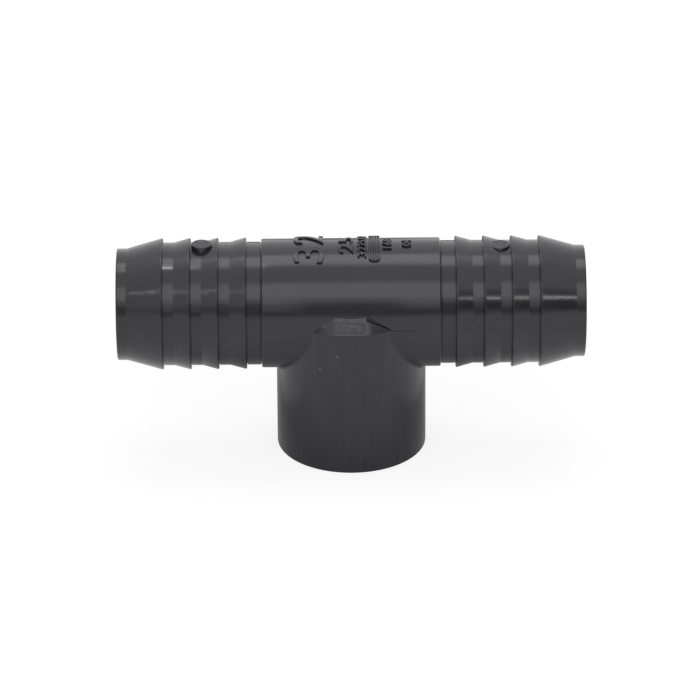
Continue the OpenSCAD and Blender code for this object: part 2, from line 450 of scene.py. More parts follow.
class GeometryTree(TreeBuilder):
    """A Geometry Nodes tree with named inputs that ends in a dressed, realized mesh."""

    def __init__(self, name: str, floats: Sequence[str], ints: Sequence[str] = ()) -> None:
        """Creates the tree's interface.

        Args:
            name: The tree's name.
            floats: Names of its length, angle and factor inputs.
            ints: Names of its count inputs.
        """
        super().__init__(bpy.data.node_groups.new(name, "GeometryNodeTree"))
        face = self.tree.interface
        face.new_socket("Geometry", in_out="INPUT", socket_type="NodeSocketGeometry")
        self.ids: dict[str, str] = {}
        for names, kind in ((floats, "Float"), (ints, "Int"), (["Finish"], "Material")):
            for word in names:
                socket = face.new_socket(word, in_out="INPUT", socket_type=f"NodeSocket{kind}")
                self.ids[word] = socket.identifier
        face.new_socket("Geometry", in_out="OUTPUT", socket_type="NodeSocketGeometry")
        self.inputs = self.add("NodeGroupInput").outputs

    def outline(self, corners: Sequence[tuple[Any, Any, Any]],
                steps: int) -> bpy.types.NodeSocket:
        """Adds a closed outline whose corners are rounded one by one.

        Args:
            corners: Its corners as (x, y, rounding).
            steps: Points in each rounded corner.

        Returns:
            The outline as a curve.
        """
        count = len(corners)
        line = self.add("GeometryNodeCurvePrimitiveLine")
        resample = self.add("GeometryNodeResampleCurve",
                            {"Curve": line.outputs["Curve"], "Count": count})
        index = self.add("GeometryNodeInputIndex").outputs[0]
        chosen = []
        for kind, values in (("VECTOR", [self.point(x, y) for x, y, _ in corners]),
                             ("FLOAT", [rounding for _, _, rounding in corners])):
            switch = self.add("GeometryNodeIndexSwitch", data_type=kind)
            while len(switch.index_switch_items) < count:
                switch.index_switch_items.new()
            for socket, value in zip(switch.inputs[:count + 1], [index, *values]):
                self.feed(socket, value)
            chosen.append(switch.outputs[0])
        moved = self.add("GeometryNodeSetPosition",
                         {"Geometry": resample.outputs["Curve"], "Position": chosen[0]})
        closed = self.add("GeometryNodeSetSplineCyclic", {0: moved.outputs[0], "Cyclic": True})
        rounded = self.add("GeometryNodeFilletCurve", {
            "Curve": closed.outputs[0], "Count": steps, "Radius": chosen[1],
            "Limit Radius": True}, mode="POLY")
        return rounded.outputs["Curve"]

    def sweep(self, rail: bpy.types.NodeSocket, outline: bpy.types.NodeSocket,
              caps: bool, scale: Any = 1.0) -> bpy.types.NodeSocket:
        """Sweeps an outline along a rail that keeps its side direction level.

        Args:
            rail: The curve to follow.
            outline: The closed section. Its Y points along Z, and its X outwards from a
                circle but inwards from a spiral.
            caps: Whether the ends are closed.
            scale: Size of the section along the rail.

        Returns:
            The swept mesh.
        """
        level = self.add("GeometryNodeSetCurveNormal", {"Curve": rail}, mode="Z_UP")
        upright = self.add("GeometryNodeTransform",
                           {"Geometry": outline, "Scale": (1.0, -1.0, 1.0)})
        return self.add("GeometryNodeCurveToMesh", {
            "Curve": level.outputs["Curve"], "Profile Curve": upright.outputs[0],
            "Fill Caps": caps, "Scale": scale}).outputs["Mesh"]

    def finish(self, geometry: bpy.types.NodeSocket) -> None:
        """Ends the tree in Realize Instances and Set Material."""
        realized = self.add("GeometryNodeRealizeInstances", {0: geometry})
        dressed = self.add("GeometryNodeSetMaterial", {
            "Geometry": realized.outputs[0], "Material": self.inputs["Finish"]})
        self.add("NodeGroupOutput", {0: dressed.outputs[0]})

    def grow(self, name: str, material: bpy.types.Material, **values: float) -> bpy.types.Mesh:
        """Runs the tree once and returns the result as a plain mesh.

        Args:
            name: Name of the mesh.
            material: The finish that the tree sets.
            values: The tree's named inputs, with _ for each space.

        Returns:
            A plain mesh that depends on nothing.
        """
        obj = new_object(name + ".seed", bpy.data.meshes.new(name + ".seed"))
        modifier = obj.modifiers.new("grow", "NODES")
        modifier.node_group = self.tree
        modifier[self.ids["Finish"]] = material
        for key, value in values.items():
            modifier[self.ids[key.replace("_", " ").capitalize()]] = value
        mesh = baked_mesh(obj, name)
        obj.modifiers.remove(modifier)
        bpy.data.objects.remove(obj)
        return mesh


def barb_tree() -> GeometryTree:
    """Builds the tree that turns a barb's section into a ring about Z.

    Returns:
        A tree whose ring has its back face at z = 0 and its ramp above it.
    """
    tree = GeometryTree("barb_ring", ["Core radius", "Crest radius", "Foot radius", "Land",
                                      "Ramp end", "Reach", "Back rounding", "Edge rounding",
                                      "Foot blend"],
                        ["Segments"])
    get = tree.inputs
    rail = tree.add("GeometryNodeCurvePrimitiveCircle",
                    {"Resolution": get["Segments"], "Radius": get["Core radius"]})
    crest, foot = (tree.less(get[edge], get["Core radius"])
                   for edge in ("Crest radius", "Foot radius"))
    outline = tree.outline([
        (0.0, 0.0, 0.0), (crest, 0.0, get["Back rounding"]),
        (crest, get["Land"], get["Edge rounding"]), (foot, get["Ramp end"], get["Foot blend"]),
        (foot, get["Reach"], 0.0), (0.0, get["Reach"], 0.0)], steps=6)
    tree.finish(tree.sweep(rail.outputs["Curve"], outline, caps=False))
    return tree


def thread_tree() -> GeometryTree:
    """Builds the tree that winds a thread's ridge up a tapered wall.

    Returns:
        A tree whose ridge climbs from z = 0 and stands inwards from the wall.
    """
    rounding = 0.05 * MM
    least_height = 0.08
    tree = GeometryTree("thread_ridge", ["Bottom radius", "Top radius", "Climb", "Turns",
                                         "Root width", "Crest width", "Ridge height",
                                         "Sunk depth", "Run out"], ["Steps per turn"])
    get = tree.inputs
    rail = tree.add("GeometryNodeCurveSpiral", {
        "Resolution": get["Steps per turn"], "Rotations": get["Turns"],
        "Start Radius": get["Bottom radius"], "End Radius": get["Top radius"],
        "Height": get["Climb"]})
    root, crest = (tree.times(get[edge], 0.5) for edge in ("Root width", "Crest width"))
    below_root, below_crest = (tree.times(half, -1.0) for half in (root, crest))
    ridge, sunk = get["Ridge height"], tree.times(get["Sunk depth"], -1.0)
    outline = tree.outline([
        (sunk, below_root, 0.0), (0.0, below_root, 0.0), (ridge, below_crest, rounding),
        (ridge, crest, rounding), (0.0, root, 0.0), (sunk, root, 0.0)], steps=2)
    turn = tree.times(tree.add("GeometryNodeSplineParameter").outputs["Factor"], get["Turns"])
    nearest = tree.math("MINIMUM", turn, tree.less(get["Turns"], turn))
    share = tree.math("MINIMUM", 1.0, tree.math("DIVIDE", nearest, get["Run out"]))
    tree.finish(tree.sweep(rail.outputs["Curve"], outline, caps=True,
                           scale=tree.math("MAXIMUM", least_height, share)))
    return tree


def index_bar_tree() -> GeometryTree:
    """Builds the tree that lays out plain bars inside a round-cornered frame, flat on XY.

    Returns:
        A tree whose bars run along Y and stand up along Z.
    """
    rounding = 0.06 * MM
    inset_in_bar_widths = 2.15
    tree = GeometryTree("index_bars", ["Width", "Length", "Bar width", "Bar step", "Relief",
                                       "Sunk depth", "Corner rounding", "Resample length",
                                       "Top share"], ["Bar count"])
    get = tree.inputs
    border = tree.add("GeometryNodeCurvePrimitiveQuadrilateral", {
        "Width": tree.less(get["Width"], get["Bar width"]),
        "Height": tree.less(get["Length"], get["Bar width"])})
    rounded = tree.add("GeometryNodeFilletCurve", {
        "Curve": border.outputs["Curve"], "Count": 5, "Radius": get["Corner rounding"]},
        mode="POLY")
    half = tree.times(tree.less(get["Length"], tree.times(get["Bar width"], inset_in_bar_widths)),
                      0.5)
    bar = tree.add("GeometryNodeCurvePrimitiveLine", {
        "Start": tree.point(0.0, tree.times(half, -1.0)), "End": tree.point(0.0, half)})
    first = tree.times(get["Bar step"], tree.times(tree.less(get["Bar count"], 1.0), -0.5))
    spots = tree.add("GeometryNodeMeshLine", {
        "Count": get["Bar count"], "Start Location": tree.point(first, 0.0),
        "Offset": tree.point(get["Bar step"], 0.0)}, mode="OFFSET")
    copies = tree.add("GeometryNodeInstanceOnPoints", {
        "Points": spots.outputs["Mesh"], "Instance": bar.outputs["Curve"]})
    joined = tree.add("GeometryNodeJoinGeometry", {0: rounded.outputs["Curve"]})
    tree.feed(joined.inputs[0], copies.outputs["Instances"])
    real = tree.add("GeometryNodeRealizeInstances", {0: joined.outputs[0]})
    resample = tree.add("GeometryNodeResampleCurve", {
        "Curve": real.outputs[0], "Length": get["Resample length"]}, mode="LENGTH")
    side = tree.times(get["Bar width"], 0.5)
    top, down = tree.times(side, get["Top share"]), tree.times(get["Sunk depth"], -1.0)
    section = tree.outline([
        (tree.times(side, -1.0), down, 0.0), (side, down, 0.0), (top, get["Relief"], rounding),
        (tree.times(top, -1.0), get["Relief"], rounding)], steps=2)
    tree.finish(tree.sweep(resample.outputs["Curve"], section, caps=True))
    return tree


def flash_tree() -> GeometryTree:
    """Builds the tree that draws an uneven bead of flash along X.

    Returns:
        A tree whose bead swells and thins by a seeded noise.
    """
    tree = GeometryTree("flash_bead", ["Start", "Finish at", "Thickness", "Least share",
                                       "Noise scale", "Seed"], ["Count"])
    get = tree.inputs
    line = tree.add("GeometryNodeCurvePrimitiveLine", {
        "Start": tree.point(get["Start"], 0.0), "End": tree.point(get["Finish at"], 0.0)})
    resample = tree.add("GeometryNodeResampleCurve", {
        "Curve": line.outputs["Curve"], "Count": get["Count"]}, mode="COUNT")
    ripple = tree.add("ShaderNodeTexNoise", {
        "Vector": tree.add("GeometryNodeInputPosition").outputs[0], "W": get["Seed"],
        "Scale": get["Noise scale"]}, noise_dimensions="4D")
    swell = tree.remap(ripple.outputs[0], *NOISE_CORE, get["Least share"], 1.0)
    section = tree.add("GeometryNodeCurvePrimitiveCircle", {
        "Resolution": 8, "Radius": tree.times(get["Thickness"], 0.5)})
    tree.finish(tree.sweep(resample.outputs["Curve"], section.outputs["Curve"], caps=True,
                           scale=swell))
    return tree


# ---------------------------------------------------------------------------------------------
# Finishes


class Flow(Enum):
    """Which way the plastic flowed in the mould; the value stretches a pattern along it."""

    ALONG_RUN = (0.07, 1.0, 1.0)
    ALONG_BRANCH = (1.0, 1.0, 0.05)


class ShaderTree(TreeBuilder):
    """The node tree of a material or of the world, emptied first."""

    def __init__(self, owner: bpy.types.Material | bpy.types.World) -> None:
        """Empties the owner's tree."""
        owner.use_nodes = True
        super().__init__(owner.node_tree)
        self.tree.nodes.clear()

    @cached_property
    def place(self) -> bpy.types.NodeSocket:
        """Object coordinates."""
        return self.add("ShaderNodeTexCoord").outputs["Object"]

    def end(self, shader: bpy.types.Node, kind: str = "ShaderNodeOutputMaterial") -> None:
        """Ends the tree in a shader."""
        self.add(kind, {"Surface": shader.outputs[0]})

    def mixed(self, share: Any, first: bpy.types.Node, second: bpy.types.Node) -> bpy.types.Node:
        """Mixes two shaders by a share."""
        return self.add("ShaderNodeMixShader",
                        {0: share, 1: first.outputs[0], 2: second.outputs[0]})

    def reach(self, place: bpy.types.NodeSocket) -> bpy.types.NodeSocket:
        """Length of a vector."""
        return self.add("ShaderNodeVectorMath", {0: place}, operation="LENGTH").outputs["Value"]

    def stretched(self, stretch: tuple[float, float, float]) -> bpy.types.NodeSocket:
        """Stretches the coordinates, so that a pattern runs long where the factor is small."""
        return self.add("ShaderNodeMapping", {"Vector": self.place, "Scale": stretch}).outputs[0]

    def noise(self, scale: float, detail: float,
              vector: bpy.types.NodeSocket | None = None) -> bpy.types.NodeSocket:
        """Adds a noise pattern on the plain coordinates, or on those given."""
        return self.add("ShaderNodeTexNoise", {
            "Vector": vector or self.place, "Scale": scale, "Detail": detail}).outputs[0]

    def blend(self, share: Any, first: Any, second: Any) -> bpy.types.NodeSocket:
        """Mixes two colours by a share."""
        return self.add("ShaderNodeMix", {0: share, 6: first, 7: second},
                        data_type="RGBA").outputs[2]

    def specks(self, scale: float, radius: float, kept: float) -> bpy.types.NodeSocket:
        """Adds scattered round specks.

        Args:
            scale: Cells per metre.
            radius: Radius of a speck as a share of its cell.
            kept: Share of the cells that hold a speck.

        Returns:
            A socket that is 1 in a speck and 0 elsewhere.
        """
        full_share = 0.55
        cells = self.add("ShaderNodeTexVoronoi", {"Vector": self.place, "Scale": scale})
        split = self.add("ShaderNodeSeparateColor", {0: cells.outputs["Color"]})
        chosen = self.math("LESS_THAN", split.outputs[0], kept)
        return self.times(chosen, self.remap(cells.outputs["Distance"], radius * full_share,
                                             radius, 1.0, 0.0))

    def bump(self, height: bpy.types.NodeSocket, distance: float, strength: float,
             under: bpy.types.NodeSocket | None = None) -> bpy.types.NodeSocket:
        """Adds a bump, on top of another where one is given."""
        feeds = {"Height": height, "Distance": distance, "Strength": strength}
        if under is not None:
            feeds["Normal"] = under
        return self.add("ShaderNodeBump", feeds).outputs[0]


def grey(level: float, cool: float = 1.24) -> tuple[float, float, float, float]:
    """A slightly cool grey as a linear colour."""
    return (level, level, level * cool, 1.0)


def grey_pair(level: float, spread: float) -> list[tuple[float, float, float, float]]:
    """A darker and a paler grey, a share below and above a level."""
    return [grey(level * (1 - spread)), grey(level * (1 + spread))]


@dataclass(frozen=True)
class SatinPvc:
    """The moulding's own skin: dark grey PVC with a satin gloss, faint flow streaks and painted
    glints.
    """

    level: float = 0.026
    streak: float = 0.12
    roughness: float = 0.18
    roughness_spread: float = 0.03
    ior: float = 1.5
    streak_scale: float = 700.0
    skin_scale: float = 5200.0
    skin_depth: float = 0.006 * MM
    skin_strength: float = 0.6
    wave_scale: float = 120.0
    wave_depth: float = 0.05 * MM
    wave_strength: float = 0.5
    # Size, level, share and radius of the painted glints: pale specks in the base colour.
    glint_scale: float = 210.0
    glint_level: float = 0.12
    glint_share: float = 0.2
    glint_radius: float = 0.08

    def material(self, name: str, flow: Flow) -> bpy.types.Material:
        """Builds the finish.

        Args:
            name: The material's name.
            flow: Which way its streaks run.

        Returns:
            The material.
        """
        material = bpy.data.materials.new(name)
        tree = ShaderTree(material)
        along = tree.stretched(flow.value)
        streaks = tree.noise(self.streak_scale, 4.0, along)
        body = tree.blend(tree.remap(streaks, *NOISE_CORE, 0.0, 1.0),
                          *grey_pair(self.level, self.streak))
        # Pale specks mixed into the base colour are painted glints.
        painted_glints = tree.specks(self.glint_scale, self.glint_radius, self.glint_share)
        gloss = tree.remap(tree.noise(self.wave_scale, 3.0), *NOISE_SPAN,
                           self.roughness - self.roughness_spread,
                           self.roughness + self.roughness_spread)
        waves = tree.bump(tree.noise(self.wave_scale, 1.0, along), self.wave_depth,
                          self.wave_strength)
        skin = tree.bump(tree.noise(self.skin_scale, 2.0), self.skin_depth, self.skin_strength,
                         waves)
        tree.end(tree.add("ShaderNodeBsdfPrincipled", {
            "Base Color": tree.blend(painted_glints, body, grey(self.glint_level, 1.0)),
            "Roughness": gloss, "Normal": skin, "IOR": self.ior}))
        return material


@dataclass(frozen=True)
class TrimmedPvc:
    """The same plastic where a gate or flash was cut away: paler, rougher and scratched."""

    level: float = 0.048
    spread: float = 0.45
    patch_scale: float = 900.0
    smoothest: float = 0.34
    roughest: float = 0.54
    scratch_stretch: tuple[float, float, float] = (0.06, 1.0, 1.0)
    scratch_scale: float = 3600.0
    scratch_depth: float = 0.03 * MM
    scratch_strength: float = 0.7

    def material(self, name: str) -> bpy.types.Material:
        """Builds the finish and returns it."""
        material = bpy.data.materials.new(name)
        tree = ShaderTree(material)
        scratches = tree.noise(self.scratch_scale, 4.0, tree.stretched(self.scratch_stretch))
        patches = tree.remap(tree.noise(self.patch_scale, 3.0), *NOISE_SPAN, 0.0, 1.0)
        tree.end(tree.add("ShaderNodeBsdfPrincipled", {
            "Base Color": tree.blend(patches, *grey_pair(self.level, self.spread)),
            "Roughness": tree.remap(scratches, *NOISE_SPAN, self.smoothest, self.roughest),
            "Normal": tree.bump(scratches, self.scratch_depth, self.scratch_strength)}))
        return material


@dataclass(frozen=True)
class Finishes:
    """The materials that the tee wears."""

    run: bpy.types.Material
    branch: bpy.types.Material
    trimmed: bpy.types.Material

    @classmethod
    def make(cls) -> "Finishes":
        """Builds every material once."""
        satin = SatinPvc()
        return cls(run=satin.material("satin_pvc_run", Flow.ALONG_RUN),
                   branch=satin.material("satin_pvc_branch", Flow.ALONG_BRANCH),
                   trimmed=TrimmedPvc().material("trimmed_pvc"))


# ---------------------------------------------------------------------------------------------
# Sub-assemblies


def swept_on_run(name: str, sizes: TeeSizes, stations: Sequence[tuple[float, float]],
                 sections: Sequence[Sequence[tuple[float, float]]]) -> bpy.types.Mesh:
    """Lays sections on the barrel's front skin along a path and closes the ends.

    Args:
        name: The mesh's name.
        sizes: The tee's sizes.
        stations: Path points as (x, height above the run's centre line).
        sections: For each station, points as (across the path, above the skin).

    Returns:
        The swept solid.
    """
    def on_skin(x: float, up: float) -> Vector:
        """A point of the barrel's front skin."""
        return Vector((x, -math.sqrt(sizes.barrel_r ** 2 - up ** 2), sizes.axis_z + up))

    rings = []
    for i, (x, up) in enumerate(stations):
        before = on_skin(*stations[max(i - 1, 0)])
        after = on_skin(*stations[min(i + 1, len(stations) - 1)])
        here = on_skin(x, up)
        outwards = Vector((0, here.y, up)).normalized()
        across = outwards.cross((after - before).normalized()).normalized()
        rings.append([here + across * side + outwards * height for side, height in sections[i]])
    count = len(rings[0])
    points = [tuple(point) for ring in rings for point in ring]
    faces = [tuple(range(count)), tuple(range(len(points) - count, len(points)))]
    for i in range(len(rings) - 1):
        for k in range(count):
            a, b = i * count + k, i * count + (k + 1) % count
            faces.append((a, b, b + count, a + count))
    return closed_mesh(name, points, faces)


def eased(t: float, head: tuple[float, float], tail: tuple[float, float]) -> float:
    """Share of a full size along a path whose ends thin out, each as (share, growth)."""
    return min(1.0, head[0] + head[1] * t, tail[0] + tail[1] * (1 - t))


@dataclass(frozen=True)
class CapCrease:
    """The dark crease on the front, where the cap's right edge runs out on the barrel."""

    sizes: TeeSizes
    start: tuple[float, float] = (4.1 * MM, 3.75 * MM)
    end: tuple[float, float] = (11.6 * MM, 0.0)
    start_half_width: float = 0.50 * MM
    end_half_width: float = 0.24 * MM
    narrowing: float = 2.5
    width_ends: tuple[tuple[float, float], tuple[float, float]] = ((0.4, 8.0), (0.45, 5.0))
    depth: float = 0.5 * MM
    depth_ends: tuple[tuple[float, float], tuple[float, float]] = ((0.5, 4.0), (0.3, 3.0))
    bottom_share: float = 0.35
    clearance: float = 1.2 * MM
    steps: int = 14
    tail_end: float = 20.6 * MM
    tail_half_width: float = 0.13 * MM
    tail_depth: float = 0.16 * MM
    tail_fade: float = 0.75
    tail_steps: int = 8

    def cutter(self) -> bpy.types.Mesh:
        """Builds the wedge that cuts the crease into the barrel and the hub."""
        stations, sections = [], []
        for i in range(self.steps + 1):
            t = i / self.steps
            half = self.start_half_width * (1 - t) ** self.narrowing + self.end_half_width
            stations.append((self.start[0] + (self.end[0] - self.start[0]) * t,
                             self.start[1] + (self.end[1] - self.start[1]) * t))
            sections.append(self.section(half * eased(t, *self.width_ends),
                                         self.depth * eased(t, *self.depth_ends)))
        for i in range(1, self.tail_steps + 1):
            t = i / self.tail_steps
            stations.append((self.end[0] + (self.tail_end - self.end[0]) * t, 0.0))
            fade = 1 - self.tail_fade * t ** 3
            sections.append(self.section(self.tail_half_width * fade, self.tail_depth * fade))
        return swept_on_run("crease_cutter", self.sizes, stations, sections)

    def section(self, half: float, deep: float) -> list[tuple[float, float]]:
        """The cutter's section: a blunt wedge that widens no further above the skin."""
        bottom = half * self.bottom_share
        return [(-half, self.clearance), (-half, 0.0), (-bottom, -deep), (bottom, -deep),
                (half, 0.0), (half, self.clearance)]


@dataclass(frozen=True)
class RunBarrel:
    """The wide barrel in the middle of the run, opened towards the branch."""

    sizes: TeeSizes
    end_rounding: float = 0.45 * MM
    opening_segments: int = 384

    def build(self, finishes: Finishes, crease: CapCrease) -> None:
        """Builds the barrel and hands it over."""
        s = self.sizes
        outline = round_outline([
            Corner(-s.shoulder_x, s.bore_r), Corner(-s.shoulder_x, s.barrel_r, self.end_rounding),
            Corner(s.shoulder_x, s.barrel_r, self.end_rounding), Corner(s.shoulder_x, s.bore_r)])
        tube = revolve_on_run("run_barrel", outline, s.axis_z)
        place(cut_away(tube, [self.opening(), crease.cutter()]), "run_barrel", finishes.run)

    def opening(self) -> bpy.types.Mesh:
        """Builds the round plug that opens the barrel's floor into the branch."""
        s = self.sizes
        ring = [(s.waterway_r * math.cos(a), s.waterway_r * math.sin(a))
                for a in full_turn(self.opening_segments)]
        low = [(x, y, s.axis_z - s.barrel_r - MM) for x, y in ring]
        high = [(x, y, s.axis_z) for x, y in ring]
        count = len(low)
        faces = [tuple(range(count)), tuple(range(count, 2 * count))]
        faces += [(k, (k + 1) % count, count + (k + 1) % count, count + k) for k in range(count)]
        return closed_mesh("opening_cutter", low + high, faces)


@dataclass(frozen=True)
class BranchHub:
    """The upright hub: threaded socket inside, sloping cap and soft fillet at the barrel."""

    sizes: TeeSizes
    columns: int = 384
    under_fillet: float = 0.9 * MM
    cap_fillet: float = 0.2 * MM
    edge_rounding: float = 0.28 * MM
    rim_rounding: float = 0.35 * MM
    cap_draw_in: float = 2.78 * MM
    socket_floor: float = 21.0 * MM
    lead_in_depth: float = 2.0 * MM
    lead_in_clearance: float = 0.285 * MM
    taper: float = 1 / 32
    arc_rows: int = 14
    sheet_rows: int = 6
    hidden_depth: float = 0.6 * MM
    floor_edge_rounding: float = 0.15 * MM
    floor_corner_rounding: float = 0.1 * MM
    mouth_rounding: float = 0.25 * MM
    skin_step: float = 0.12 * MM
    skin_depth: float = 0.004 * MM
    sink_step: float = 0.2 * MM
    opening_gap: float = 0.01 * MM
    cap_starts: float = 0.84
    cap_blend: float = 0.06
    wall_stations: int = 700
    parting_steps: int = 21
    cap_stations: int = 120
    shoulder_steps: int = 31
    steps_per_row: int = 5

    def socket_r(self, z: float) -> float:
        """Radius of the socket's tapered wall at a height above the mouth."""
        return self.sizes.lead_in_r - self.lead_in_clearance - z * self.taper

    def outside(self) -> tuple[np.ndarray, np.ndarray, list[int]]:
        """Walks up the hub's outside in a half-plane through its axis.

        Returns:
            Anchor points (radius, height above the run's centre line), the outward direction at
            each, and the numbers of the points that become rows of the mesh. The skin lies one
            edge rounding out from the anchors.
        """
        s, e = self.sizes, self.edge_rounding
        deep = s.cap_top - s.axis_z
        slope = math.atan2(self.cap_draw_in, deep)
        wall, cone, flat = (np.array([math.cos(a), math.sin(a)]) for a in (0, slope, math.pi / 2))
        parting = np.array([s.hub_r, 0.0]) - e * (wall + cone) / (1 + wall @ cone)
        shoulder = (np.array([s.hub_r - self.cap_draw_in, deep])
                    - e * (cone + flat) / (1 + cone @ flat))
        foot = np.array([s.hub_r - e, self.rim_rounding - s.axis_z])
        inner = np.array([s.bore_r, deep - e])
        anchors, outwards, rows = [], [], [0]

        def straight(start: np.ndarray, end: np.ndarray, normal: np.ndarray, count: int) -> None:
            """Walks straight, looking one way."""
            for t in np.linspace(0, 1, count):
                anchors.append(start + (end - start) * t)
                outwards.append(normal)

        def turn(at: np.ndarray, start: float, end: float, count: int) -> None:
            """Turns on the spot, and marks rows of the mesh."""
            for i, angle in enumerate(np.linspace(start, end, count)):
                anchors.append(at)
                outwards.append(np.array([math.cos(angle), math.sin(angle)]))
                if i % self.steps_per_row == 0:
                    rows.append(len(anchors) - 1)

        straight(foot, parting, wall, self.wall_stations)
        turn(parting, 0.0, slope, self.parting_steps)
        straight(parting, shoulder, cone, self.cap_stations)
        turn(shoulder, slope, math.pi / 2, self.shoulder_steps)
        straight(shoulder, inner, flat, self.cap_stations)
        return np.array(anchors), np.array(outwards), rows

    def fillet_radius(self, theta: float) -> float:
        """Radius of the fillet at an azimuth: full under the barrel, small along the cap."""
        share = min(1.0, max(0.0, (abs(math.sin(theta)) - self.cap_starts)
                              / self.cap_blend))
        share = share * share * (3 - 2 * share)
        return self.under_fillet + (self.cap_fillet - self.under_fillet) * share

    def inside(self) -> list[tuple[float, float]]:
        """Outline of the bore from the waterway down to the rim, as (height, radius)."""
        s = self.sizes
        high = s.axis_z
        corners = [
            Corner(high, s.waterway_r),
            Corner(self.socket_floor, s.waterway_r, self.floor_edge_rounding),
            Corner(self.socket_floor, self.socket_r(self.socket_floor),
                   self.floor_corner_rounding),
            Corner(self.lead_in_depth, self.socket_r(self.lead_in_depth)),
            Corner(self.lead_in_depth, s.lead_in_r),
            Corner(0.0, s.lead_in_r, self.mouth_rounding),
            Corner(0.0, s.hub_r, self.rim_rounding), Corner(high, s.hub_r)]
        return round_outline(corners)[1:-1]

    def column(self, theta: float, walk: tuple[np.ndarray, np.ndarray, list[int]]
               ) -> list[tuple[float, float, float]]:
        """Builds one column of the hub's closed skin.

        Args:
            theta: Azimuth of the column.
            walk: The result of outside().

        Returns:
            Points from the rim up the outside, over the fillet and back down the bore.
        """
        s, e = self.sizes, self.edge_rounding
        anchors, outwards, rows = walk
        c, sn = math.cos(theta), math.sin(theta)
        rho = self.fillet_radius(theta)
        balls = anchors + outwards * (e + rho)
        gap = (balls[:, 0] * sn) ** 2 + balls[:, 1] ** 2 - (s.barrel_r + rho) ** 2
        i = int(np.argmax((gap[:-1] > 0) & (gap[1:] <= 0)))
        t = gap[i] / (gap[i] - gap[i + 1])
        anchor = anchors[i] + (anchors[i + 1] - anchors[i]) * t
        normal = outwards[i] + (outwards[i + 1] - outwards[i]) * t
        normal = normal / np.linalg.norm(normal)

        def lift(flat: np.ndarray) -> Vector:
            """Stands a point of the half-plane in the column's direction."""
            return Vector((flat[0] * c, flat[0] * sn, flat[1]))

        points = [lift(anchors[k] + outwards[k] * e) if k <= i else lift(anchor + normal * e)
                  for k in rows]
        ball = lift(anchor + normal * (e + rho))
        squeeze = s.barrel_r / (s.barrel_r + rho)
        landing = Vector((ball.x, ball.y * squeeze, ball.z * squeeze))
        leave = (lift(anchor + normal * e) - ball).normalized()
        arrive = (landing - ball).normalized()
        span = leave.angle(arrive)
        for k in range(self.arc_rows + 1):
            a = span * k / self.arc_rows
            spoke = (leave * math.sin(span - a) + arrive * math.sin(a)) / math.sin(span)
            points.append(ball + spoke * rho)
        onwards = ((arrive * math.cos(span) - leave) / math.sin(span)).normalized()

        def under_skin(step: float, depth: float) -> Vector:
            """A point a step beyond the fillet, at a depth under the barrel's skin."""
            at = landing + onwards * step
            shrink = (s.barrel_r - depth) / math.hypot(at.y, at.z)
            return Vector((at.x, at.y * shrink, at.z * shrink))

        points.append(under_skin(self.skin_step, self.skin_depth))
        sunk = under_skin(self.sink_step, self.hidden_depth)
        start_x, start_angle = sunk.x, math.atan2(sunk.y, -sunk.z)
        end_x, end_radius = s.waterway_r * c, s.barrel_r - self.opening_gap
        end_angle = math.asin(s.waterway_r * sn / end_radius)
        for k in range(self.sheet_rows + 1):
            t = k / self.sheet_rows
            radius = s.barrel_r - self.hidden_depth if k < self.sheet_rows else end_radius
            angle = start_angle + (end_angle - start_angle) * t
            points.append(Vector((start_x + (end_x - start_x) * t, radius * math.sin(angle),
                                  -radius * math.cos(angle))))
        skin = [(p.x, p.y, p.z + s.axis_z) for p in points]
        return skin + [(r * c, r * sn, z) for z, r in self.inside()]

    def build(self, finishes: Finishes, crease: CapCrease) -> None:
        """Builds the hub and hands it over."""
        walk = self.outside()
        grid = np.array([self.column(theta, walk) for theta in full_turn(self.columns)])
        solid = grid_solid("branch_hub", *np.moveaxis(grid, -1, 0))
        place(cut_away(solid, [crease.cutter()]), "branch_hub", finishes.branch)


@dataclass(frozen=True)
class BranchThread:
    """The tapered pipe thread inside the branch socket."""

    hub: BranchHub
    pitch: float = 2.209 * MM
    root_share: float = 0.94
    crest_share: float = 0.08
    run_out_turns: float = 0.3
    flank_angle: float = math.radians(60)
    steps_per_turn: int = 128
    sunk_depth: float = 0.25 * MM

    def build(self, finishes: Finishes) -> None:
        """Winds the ridge and hands it over."""
        s = self.hub.sizes
        root = self.root_share * self.pitch
        crest = self.crest_share * self.pitch
        climb = s.thread_top - s.thread_bottom - root
        bottom = s.thread_bottom + root / 2
        mesh = thread_tree().grow(
            "branch_thread", finishes.branch, Bottom_radius=self.hub.socket_r(bottom),
            Top_radius=self.hub.socket_r(bottom + climb), Climb=climb, Turns=climb / self.pitch,
            Root_width=root, Crest_width=crest,
            Ridge_height=(root - crest) / 2 * math.tan(self.flank_angle),
            Sunk_depth=self.sunk_depth, Run_out=self.run_out_turns,
            Steps_per_turn=self.steps_per_turn)
        mesh.transform(Matrix.Translation((0, 0, bottom)))
        clean_solid(mesh)
        place(mesh, "branch_thread", finishes.branch)


